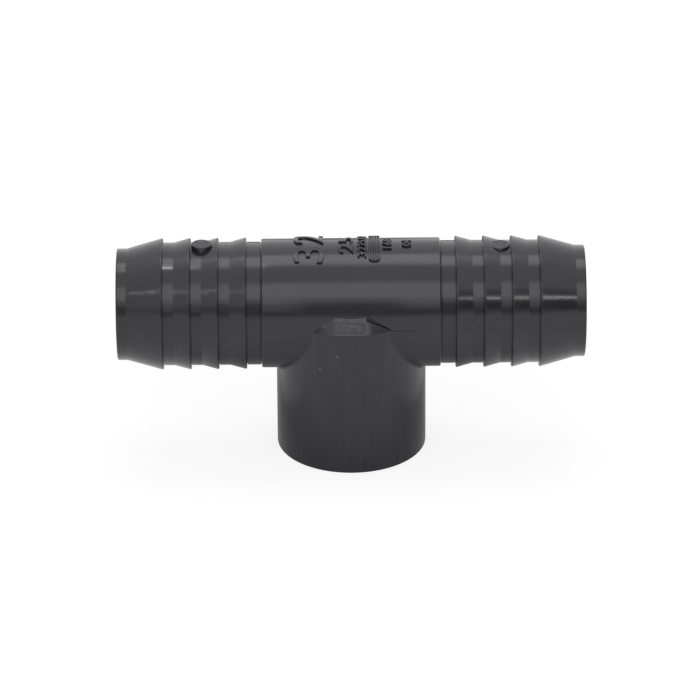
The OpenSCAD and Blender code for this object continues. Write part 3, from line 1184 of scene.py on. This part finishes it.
@dataclass(frozen=True)
class EjectorPad:
    """The flat end of an ejector pin, left as a round pad on the groove."""

    sizes: TeeSizes
    side: Side
    edge_rounding: float = 0.22 * MM
    ring_count: int = 2
    ring_depth: float = 0.12 * MM
    ring_half_share: float = 0.075
    outer_gap: float = 0.9
    sunk_depth: float = 2.4 * MM
    segments: int = 72

    def outline(self, radius: float, top: float) -> list[tuple[float, float]]:
        """Half of the pad's section, as (height, radius), with turning rings on its face."""
        foot = top - self.sunk_depth
        corners = [Corner(foot, 0.0), Corner(foot, radius),
                   Corner(top, radius, self.edge_rounding)]
        for ring in range(self.ring_count, 0, -1):
            middle = radius * ring / (self.ring_count + self.outer_gap)
            half = radius * self.ring_half_share
            corners += [Corner(top, middle + half, half / 3),
                        Corner(top - self.ring_depth, middle, half / 3),
                        Corner(top, middle - half, half / 3)]
        corners.append(Corner(top, 0.0))
        return round_outline(corners, 3)

    def build(self, finishes: Finishes) -> None:
        """Turns the pad and hands it over."""
        node = f"{self.side.word}_ejector_pad"
        low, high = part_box(node)
        radius = (high.y - low.y) / 2
        outer_edge = high.x if self.side is Side.RIGHT else -low.x
        centre = self.side.value * (outer_edge - radius)
        angles = full_turn(self.segments)[:, None]
        along, out = np.array(self.outline(radius, high.z)).T
        place(grid_solid(node, centre + np.cos(angles) * out, np.sin(angles) * out, along),
              node, finishes.run)


@dataclass(frozen=True)
class HoseSpigot:
    """One hose tail: its tube, three barbs, the long lead-in barb and the ejector pad."""

    sizes: TeeSizes
    side: Side
    ring: GeometryTree
    crest_land: float = 0.4 * MM
    crest_rounding: float = 0.25 * MM
    back_rounding: float = 0.33 * MM
    foot_blend: float = 0.7 * MM
    blend_reach: float = 0.25
    relief_width: float = 0.24 * MM
    relief_depth: float = 0.34 * MM
    relief_floor: float = 0.7
    end_chamfer: float = 0.4 * MM
    inner_chamfer: float = 0.24 * MM
    sunk_depth: float = 0.4 * MM
    feather: float = 0.003 * MM

    def build(self, finishes: Finishes) -> None:
        """Builds the tube, then each barb, then the pad."""
        self.build_tube(finishes)
        for number, back in enumerate(self.sizes.barb_backs[:3], start=1):
            self.build_barb(f"barb_{number}", back, self.sizes.groove_r,
                            back + self.sizes.barb_ramp_end, finishes)
        self.build_barb("lead_barb", self.sizes.barb_backs[3], self.sizes.pilot_r,
                        self.sizes.lead_ramp_end, finishes)
        EjectorPad(self.sizes, self.side).build(finishes)

    def build_tube(self, finishes: Finishes) -> None:
        """Builds the spigot's tube, grooved up to the lead-in barb and narrower beyond it."""
        s = self.sizes
        inside = s.barb_backs[3] + self.crest_land
        root_r = s.groove_r - self.relief_depth
        floor = self.relief_width * self.relief_floor
        corners = [Corner(s.shoulder_x, s.bore_r), Corner(s.shoulder_x, root_r),
                   Corner(s.shoulder_x + floor, root_r),
                   Corner(s.shoulder_x + self.relief_width, s.groove_r)]
        for back in s.barb_backs:
            corners += [Corner(back - self.relief_width, s.groove_r),
                        Corner(back - floor, root_r),
                        Corner(back + self.crest_land / 2, root_r),
                        Corner(back + self.crest_land / 2, s.groove_r)]
        outline = round_outline([
            *corners,
            Corner(inside, s.groove_r),
            Corner(inside, s.pilot_r),
            Corner(s.run_end, s.pilot_r, self.end_chamfer),
            Corner(s.run_end, s.bore_r, self.inner_chamfer)])
        name = f"{self.side.word}_spigot"
        place(revolve_on_run(name, outline, s.axis_z, self.side), name, finishes.run)

    def build_barb(self, word: str, back: float, seat_r: float, ramp_end: float,
                   finishes: Finishes) -> None:
        """Builds one barb.

        Args:
            word: Its name without the side.
            back: Distance of its back face from the branch.
            seat_r: Radius that its ramp runs out on.
            ramp_end: Distance at which the ramp ends.
            finishes: The tee's materials.
        """
        s = self.sizes
        ramp = ramp_end - back
        mesh = self.ring.grow(
            word, finishes.run, Core_radius=min(seat_r, s.groove_r) - self.sunk_depth,
            Crest_radius=s.crest_r, Foot_radius=seat_r - self.feather, Land=self.crest_land,
            Ramp_end=ramp, Reach=ramp + self.foot_blend * self.blend_reach,
            Back_rounding=self.back_rounding, Edge_rounding=self.crest_rounding,
            Foot_blend=self.foot_blend, Segments=SEGMENTS)
        turn = Matrix.Rotation(self.side.value * math.pi / 2, 4, "Y")
        mesh.transform(Matrix.Translation((self.side.value * back, 0, s.axis_z)) @ turn)
        clean_solid(mesh)
        place(mesh, f"{self.side.word}_{word}", finishes.run)


@dataclass(frozen=True)
class NumberRow:
    """A row of plain raised digits that reads across the barrel, tops towards the left."""

    digits: str
    middle_x: float
    height: float
    width: float
    stroke_growth: float = 0.10 * MM
    edge_rounding: float = 0.2 * MM
    digit_share: float = 0.70
    rounding_share: float = 0.05
    body: float = 0.2

    def solid(self, relief: float, sunk_depth: float) -> bpy.types.Mesh:
        """Builds the digits as flat-lying solids with rounded top edges.

        Args:
            relief: Height of their tops over the skin.
            sunk_depth: How far they reach below it.

        Returns:
            Closed solids whose outlines lie on XY.
        """
        unit = self.height / self.digit_share
        rounded = min(self.edge_rounding, self.height * self.rounding_share)
        rounding = rounded / unit
        curve = bpy.data.curves.new(f"digits_{self.digits}", "FONT")
        curve.body = self.digits
        curve.resolution_u = 5
        curve.extrude = self.body
        curve.bevel_depth = rounding
        curve.bevel_resolution = 2
        curve.offset = self.stroke_growth / unit - rounding
        text = new_object(curve.name, curve)
        mesh = baked_mesh(text, curve.name)
        bpy.data.objects.remove(text)
        points = np.array([vertex.co for vertex in mesh.vertices])
        low, high = points.min(axis=0), points.max(axis=0)
        middle, span = (low + high) / 2, high - low
        edge = relief - rounded
        for vertex, (across, up, over) in zip(mesh.vertices, points):
            level = np.interp(over, (low[2], self.body, high[2]), (-sunk_depth, edge, relief))
            vertex.co = (self.middle_x - (up - middle[1]) * self.height / span[1],
                         (across - middle[0]) * self.width / span[0], level)
        return mesh


@dataclass(frozen=True)
class RaisedMarks:
    """Everything raised from the top of the barrel: plain numbers and plain bars."""

    sizes: TeeSizes
    relief: float = 0.6 * MM
    sunk_depth: float = 0.3 * MM
    strip: float = 0.55 * MM
    merge: float = 0.002 * MM

    def wrap(self, mesh: bpy.types.Mesh) -> None:
        """Bends a flat layout onto the barrel: Y runs round it and Z stands off it."""
        s = self.sizes
        for vertex in mesh.vertices:
            x, y, z = vertex.co
            angle = math.asin(y / (s.barrel_r + self.relief))
            radius = s.barrel_r + z
            vertex.co = (x, radius * math.sin(angle), s.axis_z + radius * math.cos(angle))

    def split_across(self, mesh: bpy.types.Mesh) -> None:
        """Cuts a mesh's faces into narrow strips, so that it bends smoothly round the barrel."""
        bm = bmesh.new()
        bm.from_mesh(mesh)
        bmesh.ops.remove_doubles(bm, verts=bm.verts, dist=self.merge)
        bmesh.ops.dissolve_degenerate(bm, edges=bm.edges, dist=self.merge)
        widest = max(abs(vertex.co.y) for vertex in bm.verts)
        strips = int(widest / self.strip)
        for k in range(-strips, strips + 1):
            bmesh.ops.bisect_plane(bm, geom=[*bm.verts, *bm.edges, *bm.faces], dist=1e-8,
                                   plane_co=(0, k * self.strip, 0), plane_no=(0, 1, 0))
        bm.to_mesh(mesh)
        bm.free()

    def build_numbers(self, node: str, rows: Sequence[NumberRow], finishes: Finishes) -> None:
        """Raises rows of digits as one piece."""
        bm = bmesh.new()
        for row in rows:
            digits = row.solid(self.relief, self.sunk_depth)
            self.split_across(digits)
            self.wrap(digits)
            clean_solid(digits)
            bm.from_mesh(digits)
        place(mesh_from(bm, node), node, finishes.run)

    def build_bars(self, finishes: Finishes) -> None:
        """Raises the framed bars."""
        low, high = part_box("index_bars")
        middle = (low.x + high.x) / 2
        mesh = index_bar_tree().grow(
            "index_bars", finishes.run, Width=high.x - low.x, Length=high.y - low.y,
            Bar_width=0.62 * MM, Bar_step=0.68 * MM, Relief=self.relief,
            Sunk_depth=self.sunk_depth, Corner_rounding=0.9 * MM, Resample_length=0.35 * MM,
            Top_share=0.6, Bar_count=3)
        mesh.transform(Matrix.Translation((middle, 0, 0)))
        self.wrap(mesh)
        clean_solid(mesh)
        place(mesh, "index_bars", finishes.run)

    def build(self, finishes: Finishes) -> None:
        """Builds every raised mark."""
        self.build_numbers("size_numbers", [
            NumberRow("32", middle_x=-11.6 * MM, height=8.4 * MM, width=16.4 * MM),
            NumberRow("25", middle_x=-1.3 * MM, height=4.2 * MM, width=9.4 * MM)], finishes)
        self.build_numbers("mould_numbers", [
            NumberRow("322532", middle_x=3.1 * MM, height=2.6 * MM, width=12.6 * MM),
            NumberRow("168", middle_x=10.0 * MM, height=2.6 * MM, width=6.0 * MM),
            NumberRow("04", middle_x=15.4 * MM, height=2.6 * MM, width=3.8 * MM)], finishes)
        self.build_bars(finishes)


def grain(u: float, v: float, pattern: tuple[float, float, float]) -> float:
    """Noise at a place; the pattern is (ripples along u, ripples along v, seed)."""
    return noise.noise(Vector((u * pattern[0], v * pattern[1], pattern[2])))


@dataclass(frozen=True)
class GateVestige:
    """The trimmed gate on the front of the hub's cap."""

    hub: BranchHub
    columns: int = 90
    rows: int = 34
    relief: float = 0.09 * MM
    roughness: float = 0.022 * MM
    lip: float = 0.07 * MM
    lip_at: float = 0.86
    lip_spread: float = 0.05
    edge_growth: tuple[float, float] = (9.0, 7.0)
    coarse_grain: tuple[float, float, float] = (14.0, 5.0, 1.7)
    fine_grain: tuple[float, float, float] = (45.0, 9.0, 4.1)
    border_grain: tuple[float, float, float] = (6.0, 0.0, 8.3)
    border_rag: float = 0.02
    arch: float = 0.35
    across_span: tuple[float, float] = (0.03, 0.94)
    up_span: tuple[float, float] = (0.04, 0.9)
    sunk_depth: float = 0.25 * MM

    def skin(self, x: float, up: float, above: float) -> tuple[float, float, float]:
        """A point above the cap's front, from its X and its height over the parting plane."""
        s = self.hub.sizes
        deep = s.cap_top - s.axis_z
        radius = s.hub_r - self.hub.cap_draw_in * up / deep + above
        return (x, -math.sqrt(radius ** 2 - x ** 2), s.axis_z + up)

    def height(self, u: float, v: float) -> float:
        """Height of the cut face over the cap at a share across and a share up."""
        across, up = self.edge_growth
        edge = min(1.0, across * min(u, 1 - u), up * min(v, 1 - v))
        cut = grain(u, v, self.coarse_grain) + grain(u, v, self.fine_grain) / 2
        lip = self.lip * math.exp(-((v - self.lip_at) / self.lip_spread) ** 2)
        return (self.relief + self.roughness * cut + lip) * edge

    def build(self, finishes: Finishes) -> None:
        """Builds the patch and hands it over."""
        s = self.hub.sizes
        low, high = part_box("gate_vestige")
        (start_u, span_u), (start_v, span_v) = self.across_span, self.up_span
        points: list[tuple[float, float, float]] = []
        for face in (True, False):
            for j in range(self.rows):
                for i in range(self.columns):
                    u, v = i / (self.columns - 1), j / (self.rows - 1)
                    arch = 1 - self.arch * (2 * u - 1) ** 4
                    up = low.z - s.axis_z + (high.z - low.z) * (start_v + span_v * v * arch)
                    ragged = self.border_rag * grain(v, 0.0, self.border_grain)
                    x = low.x + (high.x - low.x) * (start_u + span_u * u + ragged * (1 - u))
                    above = self.height(u, v) if face else -self.sunk_depth
                    points.append(self.skin(x, up, above))
        count = self.columns * self.rows
        faces = []
        for j in range(self.rows - 1):
            for i in range(self.columns - 1):
                a = j * self.columns + i
                quad = (a, a + 1, a + 1 + self.columns, a + self.columns)
                faces += [quad, tuple(count + k for k in reversed(quad))]
        border = ([i for i in range(self.columns)]
                  + [j * self.columns + self.columns - 1 for j in range(1, self.rows)]
                  + [(self.rows - 1) * self.columns + i for i in range(self.columns - 2, -1, -1)]
                  + [j * self.columns for j in range(self.rows - 2, 0, -1)])
        for a, b in zip(border, border[1:] + border[:1]):
            faces.append((b, a, a + count, b + count))
        place(closed_mesh("gate_vestige", points, faces), "gate_vestige", finishes.trimmed,
              Slot.TRIMMED)


@dataclass(frozen=True)
class PartingFlash:
    """Thin uneven flash on the mould's parting line, front and back of the barrel."""

    sizes: TeeSizes
    start: float = 11.4 * MM
    end_gap: float = 0.5 * MM
    thickness: float = 0.08 * MM
    least_share: float = 0.35
    noise_scale: float = 420.0
    stations: int = 70

    def build(self, finishes: Finishes) -> None:
        """Draws four beads and hands them over as one piece."""
        s = self.sizes
        tree = flash_tree()
        bm = bmesh.new()
        seed = 0
        for side in Side:
            for front in (-1, 1):
                seed += 1
                bead = tree.grow(f"bead_{seed}", finishes.trimmed, Start=self.start,
                                 Finish_at=s.shoulder_x - self.end_gap,
                                 Thickness=self.thickness, Least_share=self.least_share,
                                 Noise_scale=self.noise_scale, Seed=float(seed),
                                 Count=self.stations)
                bead.transform(Matrix.Translation((0, front * s.barrel_r, s.axis_z))
                               @ Matrix.Diagonal((side.value, 1, 1, 1)))
                bm.from_mesh(bead)
        bmesh.ops.recalc_face_normals(bm, faces=bm.faces)
        place(mesh_from(bm, "parting_flash"), "parting_flash", finishes.trimmed, Slot.TRIMMED)


# ---------------------------------------------------------------------------------------------
# Studio


def facing(aim: Vector, turn: float, elevation: float, distance: float) -> Matrix:
    """Pose of something flat that faces the tee.

    Args:
        aim: The point that it faces.
        turn: Its direction seen from above, in degrees from the front towards the right.
        elevation: Its direction's height in degrees; past 90 it leans over to the back.
        distance: How far off it is.

    Returns:
        A pose whose Z points away from the tee and whose X lies level.
    """
    across, up = math.radians(turn), math.radians(elevation)
    away = Vector((math.sin(across) * math.cos(up), -math.cos(across) * math.cos(up),
                   math.sin(up)))
    side = Vector((math.cos(across), math.sin(across), 0))
    basis = Matrix((side, away.cross(side), away)).transposed().to_4x4()
    return Matrix.Translation(aim + away * distance) @ basis


def staged(name: str, rim: Sequence[tuple[float, float, float]],
           material: bpy.types.Material) -> bpy.types.Object:
    """Puts one flat face on the stage, as a thing that isn't part of the tee."""
    mesh = bpy.data.meshes.new(name)
    mesh.from_pydata(rim, [], [tuple(range(len(rim)))])
    mesh.materials.append(material)
    obj = new_object(name, mesh)
    return obj


@dataclass(frozen=True)
class Panel:
    """A soft panel that lights the tee."""

    name: str
    elevation: float
    half_angle: float
    radiance: float
    length: float = 0.56
    turn: float = 0.0
    slide: float = 0.0
    distance: float = 0.62

    def build(self, aim: Vector) -> None:
        """Adds the panel as an area lamp that faces the aim."""
        width = 2 * self.distance * math.tan(math.radians(self.half_angle))
        lamp = bpy.data.lights.new(self.name, "AREA")
        lamp.shape = "RECTANGLE"
        lamp.size, lamp.size_y = self.length, width
        lamp.energy = self.radiance * math.pi * self.length * width
        obj = new_object(self.name, lamp)
        obj.matrix_world = (facing(aim, self.turn, self.elevation, self.distance)
                            @ Matrix.Translation((self.slide, 0, 0)))
        obj.visible_camera = False


@dataclass(frozen=True)
class Card:
    """A dark oval studio card that only the tee's gloss sees, brighter towards its rim."""

    name: str
    turn: float
    elevation: float
    width: float
    height: float
    middle: float
    rim: float
    fade_start: float
    distance: float
    rim_points: int = 64

    def build(self, aim: Vector) -> None:
        """Stands the card on the stage, facing the aim."""
        rim = [(self.width / 2 * math.cos(a), self.height / 2 * math.sin(a), 0)
               for a in full_turn(self.rim_points)]
        card = staged(self.name, rim, self.material())
        card.matrix_world = facing(aim, self.turn, self.elevation, self.distance)
        for ray in ("camera", "diffuse", "transmission", "shadow"):
            setattr(card, f"visible_{ray}", False)

    def material(self) -> bpy.types.Material:
        """Builds its glow, from the middle's level out to the rim's."""
        material = bpy.data.materials.new(self.name)
        tree = ShaderTree(material)
        scaled = tree.add("ShaderNodeVectorMath", {
            0: tree.place, 1: (self.width / 2, self.height / 2, 1.0)}, operation="DIVIDE")
        tree.end(tree.add("ShaderNodeEmission", {"Strength": tree.remap(
            tree.reach(scaled.outputs[0]), self.fade_start, 1.0, self.middle, self.rim)}))
        return material


@dataclass(frozen=True)
class Studio:
    """Pale floor with painted shadow in its reflected glow, white surroundings, soft panels, dark
    cards and the camera.
    """

    aim: Vector
    world_light: float = 0.46
    floor_gap: float = 0.02 * MM
    floor_size: float = 6.0
    floor_level: float = 0.78
    floor_seen_level: float = 0.34
    floor_glow: float = 0.80
    # Where the painted shadow in the floor's reflected glow fades out: by distance from the tee,
    # and by distance to the side.
    painted_shadow_reach: tuple[float, float] = (0.02, 0.08)
    aside_reach: tuple[float, float] = (0.03, 0.05)
    camera_elevation: float = 27.3111
    camera_turn: float = -0.3839
    camera_roll: float = -0.3222
    camera_distance: float = 1.42276
    camera_lens: float = 263.18
    # Levels of the floor's glow in the tee's gloss; the low levels are painted shadow near the
    # tee and behind the run's front.
    painted_shadow_near: float = 0.62
    unshaded_glow_far: float = 0.93
    painted_shadow_behind: tuple[tuple[float, float], ...] = (
        (-0.034, 1.0), (-0.014, 0.6), (0.01, 0.45), (0.03, 0.48), (0.07, 0.8), (0.12, 0.24))
    panels: tuple[Panel, ...] = (
        Panel("overhead_panel", elevation=108.5, half_angle=11.5, radiance=1.62),
        Panel("front_panel", elevation=48.9, half_angle=13.6, radiance=0.98),
        Panel("left_skirt", elevation=25.7, half_angle=10.6, radiance=0.68, length=0.058,
              slide=-0.073, distance=0.259),
        Panel("right_skirt", elevation=27.6, half_angle=9.2, radiance=0.68, length=0.056,
              slide=0.072, distance=0.26),
        Panel("right_strip", elevation=27.6, half_angle=0.6, radiance=52.0, length=0.034,
              turn=40.7, slide=-0.004),
        Panel("left_strip", elevation=40.5, half_angle=0.4, radiance=30.0, length=0.022,
              turn=-46.3),
        Panel("left_spot", elevation=93.6, half_angle=0.8, radiance=80.0, length=0.004,
              slide=-0.0545, distance=0.159))
    cards: tuple[Card, ...] = (
        Card("front_card", turn=0, elevation=15, width=1.0, height=0.31, middle=0.22, rim=0.5,
             fade_start=0.75, distance=0.7),
        Card("right_front_card", turn=40.0, elevation=21.5, width=0.42, height=0.50,
             middle=0.02, rim=0.85, fade_start=0.55, distance=0.68),
        Card("left_card", turn=-90, elevation=0, width=1.6, height=1.6, middle=0.12, rim=0.8,
             fade_start=0.45, distance=0.55),
        Card("right_card", turn=90, elevation=0, width=1.6, height=1.6, middle=0.12, rim=0.95,
             fade_start=0.45, distance=0.55))

    def build(self) -> None:
        """Builds the whole studio."""
        self.build_world()
        self.build_floor()
        for light in (*self.panels, *self.cards):
            light.build(self.aim)
        self.build_camera()

    def build_world(self) -> None:
        """Makes the surroundings white to look at and dimmer as a light."""
        world = bpy.data.worlds.new("white_surroundings")
        bpy.context.scene.world = world
        tree = ShaderTree(world)
        rays = tree.add("ShaderNodeLightPath").outputs
        seen = tree.math("MAXIMUM", rays["Is Camera Ray"],
                         tree.math("MAXIMUM", rays["Is Glossy Ray"], rays["Is Transmission Ray"]))
        light, look = (tree.add("ShaderNodeBackground", {"Color": WHITE, "Strength": strength})
                       for strength in (self.world_light, 1.0))
        tree.end(tree.mixed(seen, light, look), "ShaderNodeOutputWorld")

    def build_floor(self) -> None:
        """Lays the pale floor, which looks white but keeps the tee's shadow; in the tee's gloss
        it is a glow with painted shadow near the tee and under the run.
        """
        material = bpy.data.materials.new("pale_floor")
        tree = ShaderTree(material)
        rays = tree.add("ShaderNodeLightPath").outputs
        paint, thin_paint = (tree.add("ShaderNodeBsdfDiffuse", {"Color": grey(level, 1.0)})
                             for level in (self.floor_level, self.floor_seen_level))
        glow = tree.add("ShaderNodeEmission", {"Color": WHITE, "Strength": self.floor_glow})
        seen = tree.add("ShaderNodeAddShader", {0: thin_paint.outputs[0], 1: glow.outputs[0]})
        split = tree.add("ShaderNodeSeparateXYZ", {0: tree.place}).outputs
        # The glow that the tee's gloss sees holds painted shadow: dim near the tee and beside the
        # run, full far off and to the sides.
        shade_by_reach = tree.remap(tree.reach(tree.place), *self.painted_shadow_reach, self.painted_shadow_near,
                          self.unshaded_glow_far)
        unshaded_aside = tree.remap(tree.math("ABSOLUTE", split[0]), *self.aside_reach, 0.0, 1.0)
        shade_by_side = tree.math("MAXIMUM", tree.steps(split[1], self.painted_shadow_behind), unshaded_aside)
        painted_shadow_glow = tree.add("ShaderNodeEmission", {"Strength": tree.times(shade_by_reach, shade_by_side)})
        matte = tree.mixed(rays["Is Glossy Ray"], paint, painted_shadow_glow)
        tree.end(tree.mixed(rays["Is Camera Ray"], matte, seen))
        half = self.floor_size / 2
        staged("floor", [(x * half, y * half, -self.floor_gap)
                         for x, y in ((-1, -1), (1, -1), (1, 1), (-1, 1))], material)

    def build_camera(self) -> None:
        """Places the camera."""
        data = bpy.data.cameras.new("camera")
        data.lens = self.camera_lens
        data.sensor_width = 36.0
        data.clip_end = 20.0
        camera = new_object("camera", data)
        camera.matrix_world = (facing(self.aim, self.camera_turn, self.camera_elevation,
                                      self.camera_distance)
                               @ Matrix.Rotation(math.radians(self.camera_roll), 4, "Z"))
        bpy.context.scene.camera = camera


# ---------------------------------------------------------------------------------------------


def main() -> None:
    logging.basicConfig(level=logging.INFO, format="%(name)s: %(message)s")
    bpy.context.scene.view_settings.view_transform = "Standard"
    sizes = TeeSizes.from_frame()
    finishes = Finishes.make()
    crease = CapCrease(sizes)
    hub = BranchHub(sizes)
    RunBarrel(sizes).build(finishes, crease)
    hub.build(finishes, crease)
    BranchThread(hub).build(finishes)
    ring = barb_tree()
    for side in Side:
        HoseSpigot(sizes, side, ring).build(finishes)
    RaisedMarks(sizes).build(finishes)
    GateVestige(hub).build(finishes)
    PartingFlash(sizes).build(finishes)
    Studio(aim=Vector((-0.31 * MM, 0.0, 27.75 * MM))).build()


if __name__ == "__main__":
    main()
